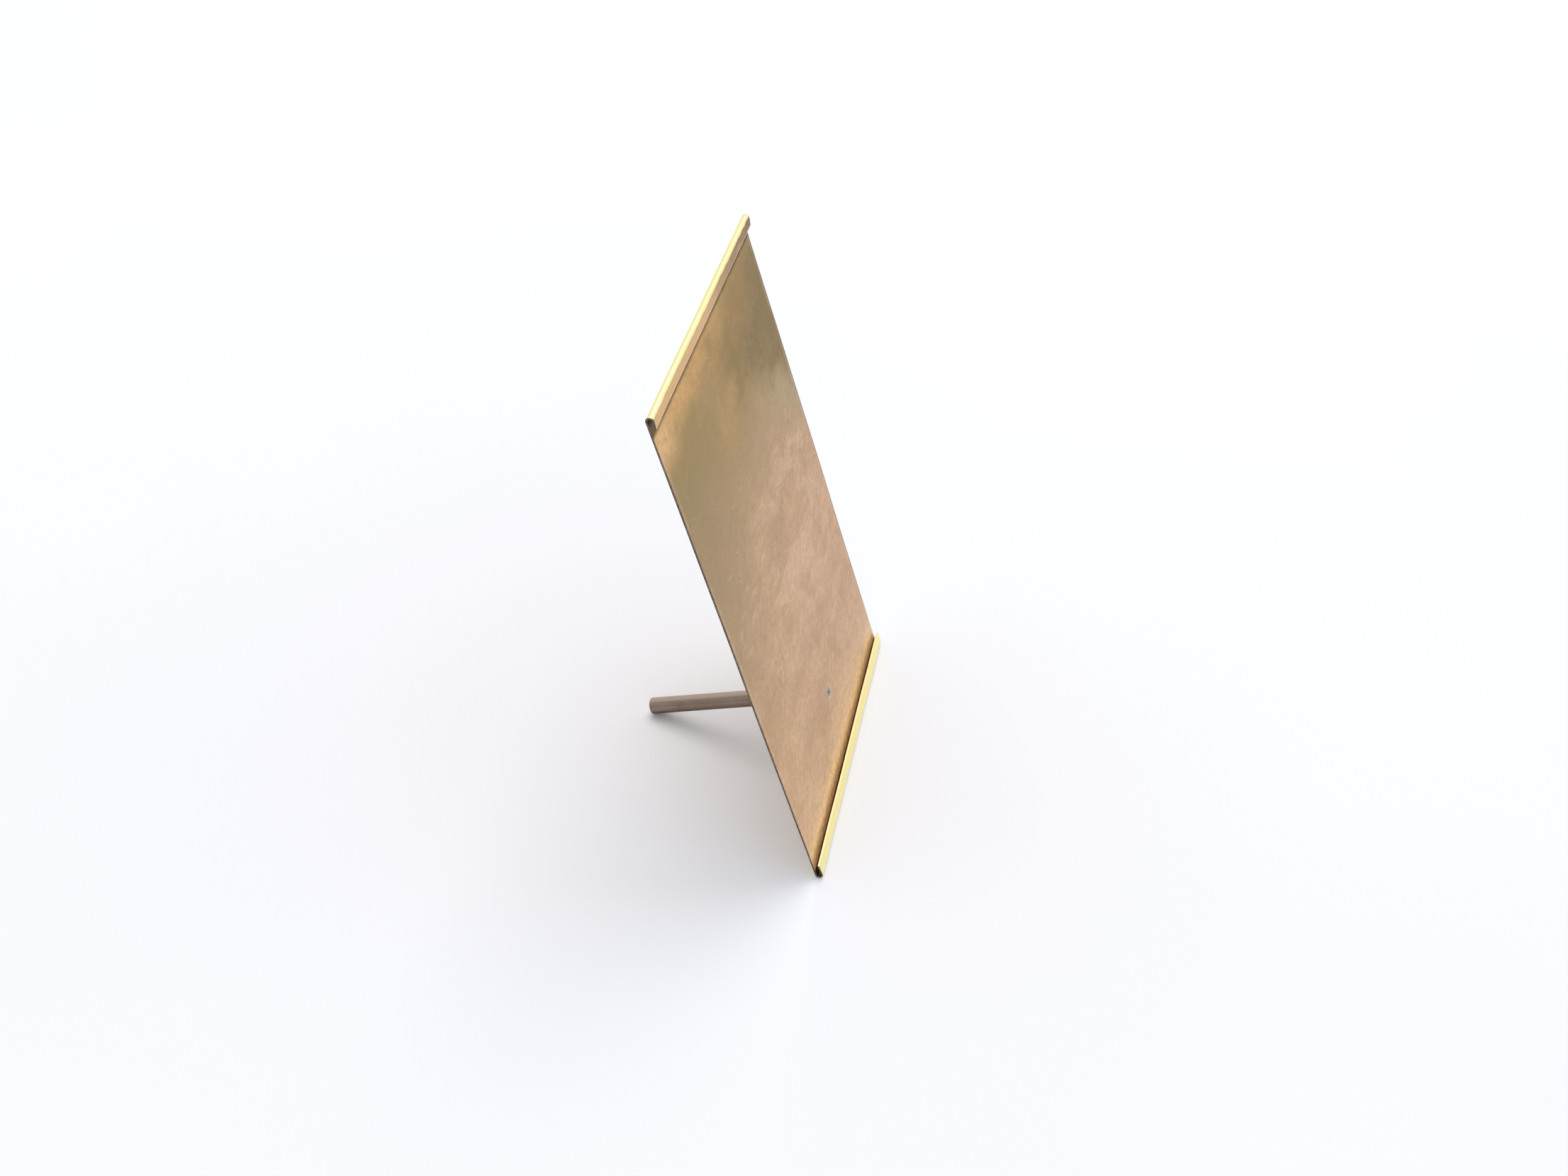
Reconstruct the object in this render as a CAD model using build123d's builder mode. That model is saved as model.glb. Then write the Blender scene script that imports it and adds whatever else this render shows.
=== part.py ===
from build123d import *
import math
import os

# Picture stand: one brass sheet folded into a channel along its top and bottom edges, so
# that a 4 x 6 in print slides in from the side. It leans back on a round rod leg, and one
# small countersunk screw, let in flush from the print side, holds the leg on.
# Millimetres. +Z is up, the print side faces -Y, and the origin is at the middle of the
# whole stand's footprint, on the surface that it stands on.

# ---- driving dimensions -------------------------------------------------------------
panel_width = 102.0        # along the channels
panel_height = 154.0       # along the slope, from fold to fold, outside
sheet = 0.5                # sheet thickness
fold_depth = 2.3           # outside depth of both folds, back face to lip
bottom_lip_height = 4.6    # bottom lip, from the lower fold's lowest line to its cut edge
top_lip_height = 3.5       # top lip, from the upper fold's highest line to its cut edge
bottom_lip_lean = 3.0      # degrees that the bottom lip closes towards the sheet
top_lip_lean = 8.0         # degrees that the top lip closes towards the sheet
lip_round = 0.12           # rounding of the lips' cut edges
side_burr = 0.08           # deburring of the sheet's upright cut edges

leg_height = 24.0          # leg's axis above the lower fold, along the slope
leg_diameter = 5.0
leg_length = 56.0
leg_tip_round = 0.5        # rounded rim at the free end, which stands on the table
leg_root_chamfer = 0.15
tap_depth = 9.0
tap_clearance = 0.02       # radial room between the screw's crests and the tapped hole

screw_crest_r = 1.0        # M2
screw_head_r = 1.9
screw_length = 8.0
head_sunk = 0.02           # head's top below the print side of the sheet
head_land = 0.08           # straight rim above the cone
cone_room = 0.03           # radial room round the head and its cone
recess_span = 2.0          # cross recess, tip to tip
recess_slot = 0.5
recess_depth = 0.7
recess_turn = 51.0         # how far the cross stands turned, in degrees

# ---- stance ---------------------------------------------------------------------------
# The stand touches down on the lower fold's lowest line and on the rim of the leg's tip.
# A point v up the slope and w out of the back face stands v*cos(lean) + w*sin(lean) high,
# so both touch one level where a*cos(lean) - b*sin(lean) = c.
fold_r = fold_depth / 2
leg_r = leg_diameter / 2
a = leg_height - (leg_r - leg_tip_round) - fold_r
b = (leg_length - leg_tip_round) + fold_r
c = leg_tip_round - fold_r
lean = math.acos(c / math.hypot(a, b)) - math.atan2(b, a)
cos_lean, sin_lean = math.cos(lean), math.sin(lean)

floor_level = fold_r * (cos_lean + sin_lean) - fold_r
front_most = fold_r * (sin_lean - cos_lean) - fold_r
back_most = (
    (leg_height + leg_r - leg_tip_round) * sin_lean
    + (leg_length - leg_tip_round) * cos_lean
    + leg_tip_round
)
y_shift = -(front_most + back_most) / 2


def spot(v, w):
    """Point on the middle plane, v up the slope and w out of the sheet's back face."""
    return Vector(0, y_shift + v * sin_lean - w * cos_lean, v * cos_lean + w * sin_lean - floor_level)


up_slope = Vector(0, sin_lean, cos_lean)
outward = Vector(0, -cos_lean, sin_lean)

section = Plane(origin=spot(0, 0), x_dir=outward, z_dir=(-1, 0, 0))
front_face = Plane(origin=spot(leg_height, sheet), x_dir=(1, 0, 0), z_dir=outward)
back_face = Plane(origin=spot(leg_height, 0), x_dir=(1, 0, 0), z_dir=outward)
screw_section = Plane(origin=spot(leg_height, sheet), x_dir=(1, 0, 0), z_dir=-up_slope)
leg_axis = Axis(spot(leg_height, 0), outward)

# ---- folded panel: one sheet, two folds -------------------------------------------------
inner_r = fold_r - sheet


def fold_outline(lip_height, lip_lean):
    """Lower fold's outline points, as (w, v), and its lip's. The arc turns a little past
    half a circle, so that the lip closes towards the sheet."""
    d = math.radians(lip_lean)
    cd, sd = math.cos(d), math.sin(d)
    run = (lip_height - fold_r * (1 + sd)) / cd
    outer = (fold_r + fold_r * cd, fold_r + fold_r * sd)
    inner = (fold_r + inner_r * cd, fold_r + inner_r * sd)
    return {
        "outer": outer,
        "inner": inner,
        "outer_end": (outer[0] - run * sd, outer[1] + run * cd),
        "inner_end": (inner[0] - run * sd, inner[1] + run * cd),
        "outer_mid": (fold_r + fold_r * math.sin(d / 2), fold_r - fold_r * math.cos(d / 2)),
        "inner_mid": (fold_r + inner_r * math.sin(d / 2), fold_r - inner_r * math.cos(d / 2)),
    }


low = fold_outline(bottom_lip_height, bottom_lip_lean)
top = {
    k: (p[0], panel_height - p[1])
    for k, p in fold_outline(top_lip_height, top_lip_lean).items()
}

with BuildPart() as folded_panel:
    with BuildSketch(section):
        with BuildLine():
            Line((0, fold_r), (0, panel_height - fold_r))
            ThreePointArc((0, panel_height - fold_r), top["outer_mid"], top["outer"])
            Polyline(top["outer"], top["outer_end"], top["inner_end"], top["inner"])
            ThreePointArc(top["inner"], top["inner_mid"], (sheet, panel_height - fold_r))
            Line((sheet, panel_height - fold_r), (sheet, fold_r))
            ThreePointArc((sheet, fold_r), low["inner_mid"], low["inner"])
            Polyline(low["inner"], low["inner_end"], low["outer_end"], low["outer"])
            ThreePointArc(low["outer"], low["outer_mid"], (0, fold_r))
        make_face()
    extrude(amount=panel_width / 2, both=True)
    # the sheet's upright cut edges are deburred, on both faces and both sides
    upright_edges = folded_panel.edges().filter_by(leg_axis, reverse=True).filter_by(
        lambda e: e.length > 0.9 * (panel_height - fold_depth)
        and abs(abs(e.center().X) - panel_width / 2) < 0.01
    )
    chamfer(upright_edges, side_burr)
    # the lips' cut edges are rounded
    ends = [spot(p[1], p[0]) for p in (low["outer_end"], low["inner_end"], top["outer_end"], top["inner_end"])]
    lip_edges = folded_panel.edges().filter_by(Axis.X).filter_by(
        lambda e: any((Vector(0, e.center().Y, e.center().Z) - p).length < 0.01 for p in ends)
    )
    fillet(lip_edges, lip_round)
    # countersunk hole for the leg's screw
    with Locations(front_face):
        CounterSinkHole(
            radius=screw_head_r - (sheet - head_land - head_sunk) + cone_room + 0.02,
            counter_sink_radius=screw_head_r + head_sunk + head_land + cone_room,
            counter_sink_angle=90,
        )
folded_panel.part.label = "folded_panel"

# ---- leg rod: tapped at the panel's end ---------------------------------------------------
with BuildPart() as leg_rod:
    with BuildSketch(back_face):
        Circle(leg_r)
    extrude(amount=-leg_length)
    fillet(leg_rod.edges().filter_by(GeomType.CIRCLE).sort_by(leg_axis)[0], leg_tip_round)
    chamfer(leg_rod.edges().filter_by(GeomType.CIRCLE).sort_by(leg_axis)[-1], leg_root_chamfer)
    with Locations(back_face):
        CounterSinkHole(
            radius=screw_crest_r + tap_clearance,
            counter_sink_radius=screw_head_r - (sheet - head_land - head_sunk) + 2 * cone_room,
            depth=tap_depth,
            counter_sink_angle=90,
        )
leg_rod.part.label = "leg_rod"

# ---- leg screw: countersunk head, cross recess ----------------------------------------------
land_end = -head_sunk - head_land
cone_end = land_end - (screw_head_r - screw_crest_r)
with BuildPart() as leg_screw:
    with BuildSketch(screw_section):
        with BuildLine():
            Polyline(
                (0, -head_sunk),
                (screw_head_r, -head_sunk),
                (screw_head_r, land_end),
                (screw_crest_r, cone_end),
                (screw_crest_r, 0.3 - screw_length),
                (screw_crest_r - 0.3, -screw_length),
                (0, -screw_length),
                close=True,
            )
        make_face()
    revolve(axis=leg_axis)
    with BuildSketch(front_face.offset(-head_sunk)):
        with Locations(Rotation(0, 0, recess_turn)):
            Rectangle(recess_span, recess_slot)
            Rectangle(recess_slot, recess_span)
    extrude(amount=-recess_depth, taper=14, mode=Mode.SUBTRACT)
leg_screw.part.label = "leg_screw"

os.makedirs("parts", exist_ok=True)
export_step(folded_panel.part, "parts/folded_panel.step")
export_step(leg_rod.part, "parts/leg_rod.step")
export_step(leg_screw.part, "parts/leg_screw.step")

# ---- where things are, for the record ----------------------------------------------------------
print("lean from vertical, degrees", round(math.degrees(lean), 4))
print("outward", tuple(round(n, 8) for n in outward), "up_slope", tuple(round(n, 8) for n in up_slope))
print("leg root", tuple(round(n, 5) for n in spot(leg_height, 0)))
print("leg middle", tuple(round(n, 5) for n in spot(leg_height, -leg_length / 2)))
print("leg tip", tuple(round(n, 5) for n in spot(leg_height, -leg_length)))
print("screw head", tuple(round(n, 5) for n in spot(leg_height, sheet)))
print("middle of the print side", tuple(round(n, 5) for n in spot(panel_height / 2, sheet)))
print("lower fold's resting line, y", round(spot(fold_r, fold_r).Y, 5))
print("y_shift", round(y_shift, 6), "floor_level", round(floor_level, 6))
print("upright edges", len(upright_edges), "lip edges", len(lip_edges))
for one, other in ((folded_panel, leg_rod), (folded_panel, leg_screw), (leg_rod, leg_screw)):
    shared = one.part & other.part
    print(one.part.label, other.part.label, "shared volume", round(shared.volume, 6) if shared else 0.0)
for piece in (folded_panel, leg_rod, leg_screw):
    box = piece.part.bounding_box()
    print(piece.part.label, "volume", round(piece.part.volume, 2), "solids", len(piece.part.solids()), box.min, box.max)
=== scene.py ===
import math

import bpy
from mathutils import Matrix, Vector


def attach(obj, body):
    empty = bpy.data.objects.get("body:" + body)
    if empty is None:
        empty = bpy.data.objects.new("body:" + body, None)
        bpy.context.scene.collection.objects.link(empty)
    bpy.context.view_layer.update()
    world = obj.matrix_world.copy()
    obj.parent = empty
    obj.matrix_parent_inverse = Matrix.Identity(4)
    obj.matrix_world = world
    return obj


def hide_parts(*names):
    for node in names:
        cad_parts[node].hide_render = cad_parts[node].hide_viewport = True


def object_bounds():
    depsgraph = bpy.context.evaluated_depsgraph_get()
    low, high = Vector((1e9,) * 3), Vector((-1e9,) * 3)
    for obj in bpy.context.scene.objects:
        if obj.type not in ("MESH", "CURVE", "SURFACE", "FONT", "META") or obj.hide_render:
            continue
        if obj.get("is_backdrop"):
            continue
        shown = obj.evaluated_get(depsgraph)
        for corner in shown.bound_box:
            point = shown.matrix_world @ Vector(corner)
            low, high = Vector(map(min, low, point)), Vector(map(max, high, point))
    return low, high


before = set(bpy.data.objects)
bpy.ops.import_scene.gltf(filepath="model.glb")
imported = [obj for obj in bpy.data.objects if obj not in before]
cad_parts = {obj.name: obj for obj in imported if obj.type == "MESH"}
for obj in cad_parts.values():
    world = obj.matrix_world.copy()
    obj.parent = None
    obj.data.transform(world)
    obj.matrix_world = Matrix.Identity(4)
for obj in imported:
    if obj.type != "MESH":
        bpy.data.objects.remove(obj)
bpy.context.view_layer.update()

# ---------------------------------------------------------------------------
# Sizes in millimetres, the same as the CAD source, and the tilted sheet frame:
# u across the sheet (row X), v up the sheet from its lower fold, w out of the
# back face towards the front.
# ---------------------------------------------------------------------------
WIDTH, HEIGHT, SHEET = 102.0, 154.0, 0.5
FOLD_R, FOLD_IN = 1.15, 0.65
LOW_LIP, LOW_LEAN = 4.6, math.radians(3.0)
TOP_LIP, TOP_LEAN = 3.5, math.radians(8.0)
LIP_ROUND, SIDE_ROUND = 0.12, 0.09
LEG_V, LEG_R, LEG_LEN = 24.0, 2.5, 56.0
SIN, COS = 0.35548336, 0.93468261
Y_SHIFT, FLOOR = -29.900687, 0.333691


def spot(u, v, w):
    """Sheet coordinates in mm to the row frame in metres."""
    return Vector((u, Y_SHIFT + v * SIN - w * COS, v * COS + w * SIN - FLOOR)) * 0.001


def wobble(a, b, seed):
    """Slow, smooth, repeatable unevenness, about -1 to 1."""
    return (
        0.50 * math.sin(a * 0.061 + b * 0.037 + seed * 1.7)
        + 0.30 * math.sin(a * 0.113 - b * 0.071 + seed * 2.9)
        + 0.20 * math.sin(-a * 0.043 + b * 0.139 + seed * 0.6)
    )


def new_object(name, verts, faces, mats, face_mats, smooth=True, uvs=None):
    mesh = bpy.data.meshes.new(name)
    mesh.from_pydata([tuple(p) for p in verts], [], faces)
    for m in mats:
        mesh.materials.append(m)
    mesh.polygons.foreach_set("material_index", face_mats)
    mesh.polygons.foreach_set("use_smooth", [smooth] * len(faces))
    if uvs is not None:
        layer = mesh.uv_layers.new(name="Sheet")
        for loop in mesh.loops:
            layer.data[loop.index].uv = uvs[loop.vertex_index]
    mesh.validate()
    mesh.update()
    obj = bpy.data.objects.new(name, mesh)
    bpy.context.scene.collection.objects.link(obj)
    return obj


# ---------------------------------------------------------------------------
# Material network helper
# ---------------------------------------------------------------------------
class Net:
    def __init__(self, name):
        self.mat = bpy.data.materials.new(name)
        self.mat.use_nodes = True
        self.tree = self.mat.node_tree
        self.tree.nodes.clear()

    def add(self, kind, **props):
        n = self.tree.nodes.new(kind)
        for k, v in props.items():
            setattr(n, k, v)
        return n

    def put(self, socket, value):
        if isinstance(value, bpy.types.NodeSocket):
            self.tree.links.new(value, socket)
        elif value is not None:
            socket.default_value = value

    def coords(self, uv=None):
        if uv:
            return self.add("ShaderNodeUVMap", uv_map=uv).outputs[0]
        return self.add("ShaderNodeTexCoord").outputs["Object"]

    def place(self, vec, loc=(0, 0, 0), rot=(0, 0, 0), scale=(1, 1, 1)):
        n = self.add("ShaderNodeMapping")
        self.put(n.inputs["Vector"], vec)
        n.inputs["Location"].default_value = loc
        n.inputs["Rotation"].default_value = rot
        n.inputs["Scale"].default_value = scale
        return n.outputs[0]

    def noise(self, vec, scale, detail=2.0, rough=0.5, distort=0.0, colour=False):
        n = self.add("ShaderNodeTexNoise", noise_dimensions="3D")
        self.put(n.inputs["Vector"], vec)
        n.inputs["Scale"].default_value = scale
        n.inputs["Detail"].default_value = detail
        n.inputs["Roughness"].default_value = rough
        n.inputs["Distortion"].default_value = distort
        return n.outputs[1 if colour else 0]

    def cells(self, vec, scale, feature="F1", rand=1.0, colour=False):
        n = self.add("ShaderNodeTexVoronoi", feature=feature)
        self.put(n.inputs["Vector"], vec)
        n.inputs["Scale"].default_value = scale
        n.inputs["Randomness"].default_value = rand
        return n.outputs["Color" if colour else "Distance"]

    def fit(self, x, a, b, c=0.0, d=1.0, smooth=True):
        n = self.add(
            "ShaderNodeMapRange", interpolation_type="SMOOTHSTEP" if smooth else "LINEAR"
        )
        self.put(n.inputs["Value"], x)
        for k, v in zip(("From Min", "From Max", "To Min", "To Max"), (a, b, c, d)):
            self.put(n.inputs[k], v)
        return n.outputs[0]

    def calc(self, op, a, b=None, c=None, clamp=False):
        n = self.add("ShaderNodeMath", operation=op, use_clamp=clamp)
        for i, v in enumerate((a, b, c)):
            if v is not None:
                self.put(n.inputs[i], v)
        return n.outputs[0]

    def split(self, vec):
        n = self.add("ShaderNodeSeparateXYZ")
        self.put(n.inputs[0], vec)
        return n.outputs

    def join(self, x, y, z=0.0):
        n = self.add("ShaderNodeCombineXYZ")
        for i, v in enumerate((x, y, z)):
            self.put(n.inputs[i], v)
        return n.outputs[0]

    def blend(self, fac, a, b, mode="MIX"):
        n = self.add("ShaderNodeMix", data_type="RGBA", blend_type=mode)
        self.put(n.inputs[0], fac)
        for s, v in ((n.inputs[6], a), (n.inputs[7], b)):
            self.put(s, v if isinstance(v, bpy.types.NodeSocket) else (*v, 1.0))
        return n.outputs[2]

    def bump(self, height, distance, strength=1.0, normal=None):
        n = self.add("ShaderNodeBump")
        n.inputs["Strength"].default_value = strength
        n.inputs["Distance"].default_value = distance
        self.put(n.inputs["Height"], height)
        self.put(n.inputs["Normal"], normal)
        return n.outputs[0]

    def metal(self, colour, rough, normal, **fixed):
        b = self.add("ShaderNodeBsdfPrincipled")
        b.inputs["Metallic"].default_value = 1.0
        self.put(b.inputs["Base Color"], colour)
        self.put(b.inputs["Roughness"], rough)
        self.put(b.inputs["Normal"], normal)
        for k, v in fixed.items():
            b.inputs[k.replace("_", " ")].default_value = v
        out = self.add("ShaderNodeOutputMaterial")
        self.put(out.inputs[0], b.outputs[0])
        return self.mat


def scratches(n, vec, angle, across, along, cut, seed):
    """Fine straight lines at an angle: a noise stretched along them, cut thin."""
    turned = n.place(vec, (seed, seed * 0.37, 0), (0, 0, angle), (1, 1, 1))
    stretched = n.place(turned, scale=(along, across, 1))
    lines = n.noise(stretched, 1.0, 1.0, 0.5)
    ridge = n.calc("ABSOLUTE", n.calc("SUBTRACT", lines, 0.5))
    return n.fit(ridge, 0.0, cut, 1.0, 0.0)


# ---------------------------------------------------------------------------
# Brass: the darkened, hand-worn front of the sheet, with painted shade under both lips, a painted reflection along the
# foot and painted highlights along the side edges
# ---------------------------------------------------------------------------
def zone(n, v, a, b, c, d):
    """1 between b and c, fading out to a and d."""
    return n.calc("MULTIPLY", n.fit(v, a, b), n.fit(v, c, d, 1.0, 0.0))


def patina_layers(n, uv):
    """The slow colour fields of the front side: tarnish, with painted highlights along the side edges and a painted
    reflection of the lower lip along the foot. Returns the colour and the surface coordinates, bent by a slow noise."""
    u, v = n.split(uv)[0], n.split(uv)[1]
    bend = n.split(n.noise(uv, 0.028, 4.0, 0.55, 0.5, colour=True))
    frayed = n.split(n.noise(n.place(uv, (40, 11, 0), (0, 0, -0.5), (0.5, 1.2, 1)), 0.15, 4.0, 0.6, 0.4, colour=True))
    up = n.calc("ADD", u, n.calc("MULTIPLY", n.calc("SUBTRACT", bend[0], 0.5), 34.0))
    up = n.calc("ADD", up, n.calc("MULTIPLY", n.calc("SUBTRACT", frayed[0], 0.5), 18.0))
    vp = n.calc("ADD", v, n.calc("MULTIPLY", n.calc("SUBTRACT", bend[1], 0.5), 26.0))
    vp = n.calc("ADD", vp, n.calc("MULTIPLY", n.calc("SUBTRACT", frayed[1], 0.5), 14.0))

    clouds = n.noise(n.place(uv, (13, 5, 0), (0, 0, -0.45), (0.45, 1.0, 1)), 0.075, 5.0, 0.6, 0.7)
    col = n.blend(n.fit(clouds, 0.36, 0.62), (0.580, 0.378, 0.219), (0.690, 0.462, 0.279))
    # duller and browner up the sheet
    col = n.blend(n.calc("MULTIPLY", n.fit(vp, 58.0, 116.0), 0.9), col, (0.415, 0.288, 0.140))
    col = n.blend(n.calc("MULTIPLY", n.fit(vp, 106.0, 126.0), 0.9), col, (0.325, 0.232, 0.072))
    # greyer by the near side
    near = n.calc("MULTIPLY", n.fit(up, 6.0, 44.0, 1.0, 0.0), zone(n, vp, 44.0, 84.0, 120.0, 138.0))
    col = n.blend(n.calc("MULTIPLY", near, 0.42), col, (0.285, 0.225, 0.128))
    # light worn middle, rubbed in short slanting strokes, and darker bruises
    worn = n.calc("MULTIPLY", zone(n, up, 22.0, 44.0, 84.0, 108.0), zone(n, vp, 30.0, 54.0, 84.0, 108.0))
    rubs = n.noise(n.place(uv, (31, 7, 0), (0, 0, -0.5), (0.34, 1.0, 1)), 0.10, 6.0, 0.66, 0.9)
    streak = n.fit(rubs, 0.46, 0.56)
    col = n.blend(n.calc("MULTIPLY", worn, n.calc("ADD", 0.02, n.calc("MULTIPLY", streak, 0.66))), col, (0.730, 0.515, 0.322))
    flecks = n.fit(n.noise(n.place(uv, (77, 52, 0), (0, 0, -0.55), (0.30, 1.0, 1)), 0.30, 5.0, 0.62, 0.6), 0.56, 0.66)
    col = n.blend(n.calc("MULTIPLY", flecks, n.fit(v, 116.0, 90.0, 0.0, 0.36)), col, (0.790, 0.585, 0.371))
    bruise = n.fit(n.noise(n.place(uv, (9, 143, 0)), 0.055, 5.0, 0.62, 0.8), 0.50, 0.64)
    col = n.blend(n.calc("MULTIPLY", bruise, 0.34), col, (0.400, 0.270, 0.141))
    # the olive field in the far upper part, with a slanting soft lower edge,
    # and a paler band just below that edge
    slant = n.calc("ADD", vp, n.calc("MULTIPLY", n.calc("SUBTRACT", up, 54.0), 0.60))
    pale = n.calc("MULTIPLY", zone(n, slant, 108.0, 122.0, 126.0, 136.0), n.fit(u, 62.0, 98.0))
    col = n.blend(n.calc("MULTIPLY", pale, 0.7), col, (0.42, 0.365, 0.194))
    olive = n.fit(slant, 121.0, 141.0)
    col = n.blend(n.calc("MULTIPLY", olive, 0.93), col, (0.175, 0.128, 0.020))
    col = n.blend(n.calc("MULTIPLY", n.calc("MULTIPLY", olive, n.fit(v, 143.0, 149.0)), 0.5), col, (0.36, 0.245, 0.047))
    # amber under the top fold
    amber = n.calc("MULTIPLY", n.fit(vp, 130.0, 150.0), n.fit(u, 112.0, 12.0))
    amber = n.calc("MULTIPLY", amber, n.fit(rubs, 0.34, 0.56, 0.62, 1.0))
    col = n.blend(amber, col, (0.775, 0.455, 0.160))
    corner = n.calc("MULTIPLY", n.fit(u, 16.0, 4.0), n.fit(v, 134.0, 145.0))
    col = n.blend(n.calc("MULTIPLY", corner, 0.5), col, (0.960, 0.640, 0.330))
    patch = n.calc("MULTIPLY", zone(n, up, 34.0, 48.0, 52.0, 66.0), zone(n, vp, 112.0, 124.0, 130.0, 142.0))
    col = n.blend(n.calc("MULTIPLY", patch, 0.38), col, (0.60, 0.380, 0.127))
    # painted highlights: pale lines along both side edges
    edge_highlight = n.fit(n.noise(n.place(uv, (3, 17, 0)), 0.09, 3.0, 0.6), 0.40, 0.62, 0.04, 0.30)
    col = n.blend(n.calc("MULTIPLY", zone(n, u, 0.2, 0.7, 1.0, 1.8), edge_highlight), col, (0.82, 0.64, 0.380))
    col = n.blend(n.calc("MULTIPLY", zone(n, u, 99.8, 100.8, 101.1, 101.6), edge_highlight), col, (0.70, 0.57, 0.371))
    col = n.blend(n.calc("MULTIPLY", n.fit(u, 101.2, 101.7), 0.85), col, (0.17, 0.13, 0.042))
    col = n.blend(n.fit(u, 56.0, 4.0), col, (1.0, 1.0, 0.97), "MULTIPLY")
    # painted reflection of the lower lip: gold along the foot
    foot = n.fit(vp, 26.0, 8.0)
    col = n.blend(n.calc("MULTIPLY", foot, 0.85), col, (0.860, 0.600, 0.352))
    col = n.blend(n.calc("MULTIPLY", n.fit(v, 12.0, 5.0), 0.9), col, (1.0, 0.745, 0.410))
    return col, u, v, clouds


def brass_front():
    n = Net("brass_front_patina_painted_light")
    uv = n.coords("Sheet")
    col, u, v, clouds = patina_layers(n, uv)
    fine = n.noise(uv, 0.55, 5.0, 0.65)
    grain = n.noise(n.place(uv, rot=(0, 0, -0.5), scale=(0.25, 2.2, 1)), 1.1, 4.0, 0.6)
    # small ragged stains
    stain = n.noise(n.place(uv, (3, 91, 0), scale=(1, 0.7, 1)), 0.11, 5.0, 0.6, 1.0)
    col = n.blend(n.calc("MULTIPLY", n.fit(stain, 0.54, 0.70), 0.24), col, (0.33, 0.225, 0.080))
    # hairline scratches, in patches
    a = scratches(n, uv, 0.55, 3.6, 0.035, 0.010, 3.0)
    b = scratches(n, uv, -0.32, 3.1, 0.05, 0.008, 17.0)
    c = scratches(n, uv, 1.32, 3.3, 0.06, 0.006, 41.0)
    marks = n.calc("MAXIMUM", n.calc("MAXIMUM", a, b), c)
    marks = n.calc("MULTIPLY", marks, n.fit(n.noise(uv, 0.13, 2.0, 0.5), 0.44, 0.70))
    hand = n.calc("MULTIPLY", n.fit(u, 38.0, 18.0), n.fit(v, 54.0, 30.0))
    col = n.blend(n.calc("MULTIPLY", hand, 0.28), col, (0.820, 0.585, 0.370))
    col = n.blend(n.calc("MULTIPLY", marks, n.calc("ADD", 0.28, n.calc("MULTIPLY", hand, 0.42))), col, (0.84, 0.64, 0.399))
    tone = n.calc("ADD", n.calc("MULTIPLY", grain, 0.5), n.calc("MULTIPLY", fine, 0.5))
    col = n.blend(n.fit(tone, 0.59, 0.40, 0.0, 0.34), col, (0.30, 0.21, 0.080))
    # small pits
    pit = n.cells(uv, 0.42)
    pits = n.calc("MULTIPLY", n.fit(pit, 0.10, 0.05, 0.0, 1.0), n.fit(n.noise(uv, 0.3, 1.0), 0.56, 0.62))
    col = n.blend(n.calc("MULTIPLY", pits, 0.7), col, (0.18, 0.125, 0.023))
    # tarnish on the inner face of the lower fold, a brighter gold band further along that lip, and painted shade of the
    # gaps under both lips
    inner_lip = n.fit(v, -0.4, -1.6)
    col = n.blend(inner_lip, col, (0.34, 0.235, 0.110))
    col = n.blend(n.fit(v, -2.6, -3.4), col, (0.98, 0.80, 0.44))
    # painted shade: a dark band in the lower fold and a dark line just under the upper lip
    gap_shade = n.calc("MAXIMUM", zone(n, v, -2.2, -1.4, 2.4, 3.3), n.calc("MULTIPLY", n.fit(n.calc("ADD", v, n.calc("MULTIPLY", n.calc("SUBTRACT", fine, 0.5), 1.2)), 147.2, 149.0), 0.86))
    col = n.blend(n.calc("MULTIPLY", gap_shade, 0.95), col, (0.045, 0.029, 0.004))

    rough = n.calc("ADD", 0.22, n.calc("MULTIPLY", clouds, 0.10))
    rough = n.calc("ADD", rough, n.calc("MULTIPLY", fine, 0.07))
    rough = n.calc("ADD", rough, n.calc("MULTIPLY", gap_shade, 0.25))
    rough = n.calc("SUBTRACT", rough, n.calc("MULTIPLY", marks, 0.06))
    rough = n.calc("ADD", rough, n.calc("MULTIPLY", inner_lip, 0.45))
    rough = n.calc("ADD", rough, n.calc("MULTIPLY", zone(n, v, 0.5, 1.5, 3.6, 7.6), 0.45))

    height = n.calc("ADD", n.calc("MULTIPLY", grain, 0.5), n.calc("MULTIPLY", fine, 0.5))
    height = n.calc("SUBTRACT", height, n.calc("MULTIPLY", marks, 0.9))
    height = n.calc("SUBTRACT", height, n.calc("MULTIPLY", pits, 1.2))
    return n.metal(col, rough, n.bump(height, 0.000011, 1.0), Specular_Tint=(0.92, 0.82, 0.80, 1.0))


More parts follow.
